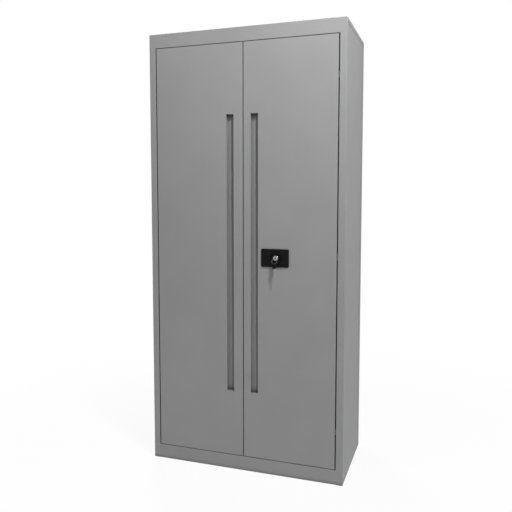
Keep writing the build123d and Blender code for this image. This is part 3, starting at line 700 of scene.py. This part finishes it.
def guideShells(spec, x, levels):
    # loops from the bore out to a rounded rectangle, carried round the block's eased edges; the same block
    # stands at each level
    outline = roundedOutline(*spec["size"], spec["corner"], spec["cornerSteps"]) + np.array(spec["shift"])

    def blockFrame(flat, height):
        # the outline lies level about the rod, the thickness stands upright
        return np.stack([x + flat[:, 0], spec["rodY"] + flat[:, 1], np.full(len(flat), height)], 1)

    block = padRows(outline, spec["bore"], blockFrame, spec["half"], spec["edge"], spec["panel"],
                    spec["panelSpan"])
    return [(block + np.array([0, 0, level]), "ring") for level in levels]


for pieceName, (node, x, levels) in guideSets.items():
    swapIn(surfacePiece(pieceName, guideShells(rodGuides, x, levels), "black_plastic"), node)
print("hinge pins, buffers, nut and guides made")


# rear seam strip: a folded strip on the inner side of the roof's rear flange. It steps inwards over the
# back panel's top edge and hangs down inside it, so no light comes through the seam
rearSeamStrip = {
    "halfWidth": 0.4567, "rear": 0.2282,     # the inner side of the flange
    "start": 0.160,                          # just behind the end of the solids' side strips
    "top": 1.984, "step": 1.977, "bottom": 1.966, "inwards": 0.0042, "sheet": 0.0008, "clear": 0.00002,
    "corner": 0.0027, "leastCorner": 0.0003, "cornerSteps": 9,
    "endEase": 0.0002, "fold": 0.0004, "easeSteps": 5,
}


def stripCorners(spec):
    # (distance inwards, height, easing): each fold is eased by one size inside and by that size and the
    # sheet outside
    sheet, step, inner, ease = spec["sheet"], spec["step"], spec["inwards"], spec["endEase"]
    tight, wide = spec["fold"], spec["fold"] + sheet
    flange = [(spec["clear"], spec["top"], ease), (sheet, spec["top"], ease), (sheet, step + sheet, tight)]
    hanging = [(inner + sheet, step + sheet, wide), (inner + sheet, spec["bottom"], ease),
               (inner, spec["bottom"], ease), (inner, step, tight)]
    return np.array(flange + hanging + [(spec["clear"], step, wide)])


def easedSection(corners, steps):
    # corner + easing ((1 - t)^2 towards the corner before + t^2 towards the corner after), t from 0 to 1
    points, easing = corners[:, :2], corners[:, 2, None, None]
    before, after = np.roll(points, 1, 0) - points, np.roll(points, -1, 0) - points
    before = (before / np.hypot(*before.T)[:, None])[:, None]
    after = (after / np.hypot(*after.T)[:, None])[:, None]
    t = np.linspace(0, 1, steps)[None, :, None]
    curve = points[:, None] + easing * ((1 - t) ** 2 * before + t ** 2 * after)
    return curve.reshape(-1, 2)


def stripRows(spec):
    # the section is carried along the left side and round the rear corner, each point on a circle whose
    # radius is the corner's less the point's distance inwards; the right half mirrors the left one
    inwards, level = easedSection(stripCorners(spec), spec["easeSteps"]).T
    radius = np.maximum(spec["corner"] - inwards, spec["leastCorner"])
    angle = np.linspace(math.pi, math.pi / 2, spec["cornerSteps"])[:, None]
    sideX, rearY = inwards - spec["halfWidth"], spec["rear"] - inwards
    x = np.vstack([sideX, sideX + radius * (1 + np.cos(angle))])
    y = np.vstack([np.full_like(inwards, spec["start"]), rearY - radius * (1 - np.sin(angle))])
    x, y = np.vstack([x, -x[::-1]]), np.vstack([y, y[::-1]])
    return np.stack([x, y, np.broadcast_to(level, x.shape)], -1)


seamStrip = surfacePiece("rearSeamStrip", [(stripRows(rearSeamStrip), "capped")], "powder_coat")
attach(seamStrip, "cabinet")
print("rear seam strip made")


# pale floor that shows white like the surround, with part of the case's soft shadow left on it
floorSetup = {"reach": 9.0, "drop": 0.0005, "colour": (0.92, 0.92, 0.92), "rough": 0.9, "near": (0.5, 0.9),
              "far": (2.2, 1.0)}


def seenDirectly(nodes, links):
    # camera, mirror and glass rays all see the white surround: the largest of their three marks
    path = nodes.new("ShaderNodeLightPath")
    seen = path.outputs["Is Camera Ray"]
    for ray in ("Is Glossy Ray", "Is Transmission Ray"):
        larger = nodes.new("ShaderNodeMath")
        larger.operation = "MAXIMUM"
        links.new(seen, larger.inputs[0])
        links.new(path.outputs[ray], larger.inputs[1])
        seen = larger.outputs[0]
    return seen


def makeFloor(setup):
    # a square of floor; shader = mix(floor, white, share). The share grows with the distance from the
    # object's middle, so no horizon shows
    reach, z = setup["reach"], -setup["drop"]
    mesh = bpy.data.meshes.new("floor")
    corners = [(-reach, -reach, z), (reach, -reach, z), (reach, reach, z), (-reach, reach, z)]
    mesh.from_pydata(corners, [], [(0, 1, 2, 3)])
    floor = bpy.data.objects.new("floor", mesh)
    scene.collection.objects.link(floor)
    material, nodes, links, shader = newMaterial("floor")
    shader.inputs["Base Color"].default_value = (*setup["colour"], 1)
    shader.inputs["Roughness"].default_value = setup["rough"]
    white = nodes.new("ShaderNodeEmission")
    distance = nodes.new("ShaderNodeVectorMath")
    distance.operation = "LENGTH"
    links.new(nodes.new("ShaderNodeTexCoord").outputs["Object"], distance.inputs[0])
    (nearAt, nearShare), (farAt, farShare) = setup["near"], setup["far"]
    share = rangeNode(nodes, links, distance.outputs["Value"], nearShare, farShare, nearAt, farAt)
    amount = nodes.new("ShaderNodeMath")
    amount.operation = "MULTIPLY"
    links.new(share, amount.inputs[1])
    links.new(seenDirectly(nodes, links), amount.inputs[0])
    blend = nodes.new("ShaderNodeMixShader")
    links.new(amount.outputs[0], blend.inputs[0])
    links.new(shader.outputs[0], blend.inputs[1])
    links.new(white.outputs[0], blend.inputs[2])
    links.new(blend.outputs[0], nodes["Material Output"].inputs["Surface"])
    mesh.materials.append(material)


makeFloor(floorSetup)


# light: a white surround and soft boxes. The high one on the right makes the upper half paler, the key
# stands farther off, left and low fill the front, the bounce lights the left door's foot as the floor
# would, and the rear one lights the back
worldSetup = {"seen": 1.0, "lit": 0.06}
lampSetup = {
    "high": {"place": (1.2, -1.35, 3.3), "aim": (0.3, -0.2, 1.5), "size": (0.3, 0.3), "power": 66},
    "key": {"place": (2.4, -2.7, 3.0), "aim": (0.0, -0.2, 1.0), "size": (0.4, 0.4), "power": 42},
    "left": {"place": (-1.0, -1.9, 3.6), "aim": (-0.3, -0.2, 1.8), "size": (0.8, 0.8), "power": 15},
    "bounce": {"place": (-0.8, -1.2, 0.12), "aim": (-0.4, -0.23, 0.15), "size": (0.8, 0.3), "power": 0.8},
    "low": {"place": (1.6, -2.6, 0.5), "aim": (0.0, -0.23, 0.6), "size": (0.4, 0.4), "power": 4},
    "rear": {"place": (-2.0, 2.8, 1.7), "aim": (0.0, 0.2, 1.0), "size": (1.2, 1.2), "power": 80},
}


def makeWorld(setup):
    # strength = lit + seen rays x (seen - lit)
    world = bpy.data.worlds.new("surround")
    scene.world = world
    world.use_nodes = True
    nodes, links = world.node_tree.nodes, world.node_tree.links
    background = nodes["Background"]
    background.inputs["Color"].default_value = (1, 1, 1, 1)
    level = nodes.new("ShaderNodeMapRange")
    level.inputs["To Min"].default_value = setup["lit"]
    level.inputs["To Max"].default_value = setup["seen"]
    links.new(seenDirectly(nodes, links), level.inputs["Value"])
    links.new(level.outputs["Result"], background.inputs["Strength"])


def makeLamp(name, setup):
    # a soft box at its place, tipped and turned so that its back points away from what it is aimed at
    data = bpy.data.lights.new(name, "AREA")
    data.shape = "RECTANGLE"
    data.size, data.size_y = setup["size"]
    data.energy = setup["power"]
    lamp = bpy.data.objects.new(name, data)
    lamp.visible_camera = False
    place = np.array(setup["place"])
    away = place - np.array(setup["aim"])
    lamp.location = place
    tip = math.atan2(math.hypot(away[0], away[1]), away[2])
    lamp.rotation_euler = (tip, 0, math.atan2(away[0], -away[1]))
    scene.collection.objects.link(lamp)


makeWorld(worldSetup)
for lampName, setup in lampSetup.items():
    makeLamp(lampName, setup)
print("light and floor ready")
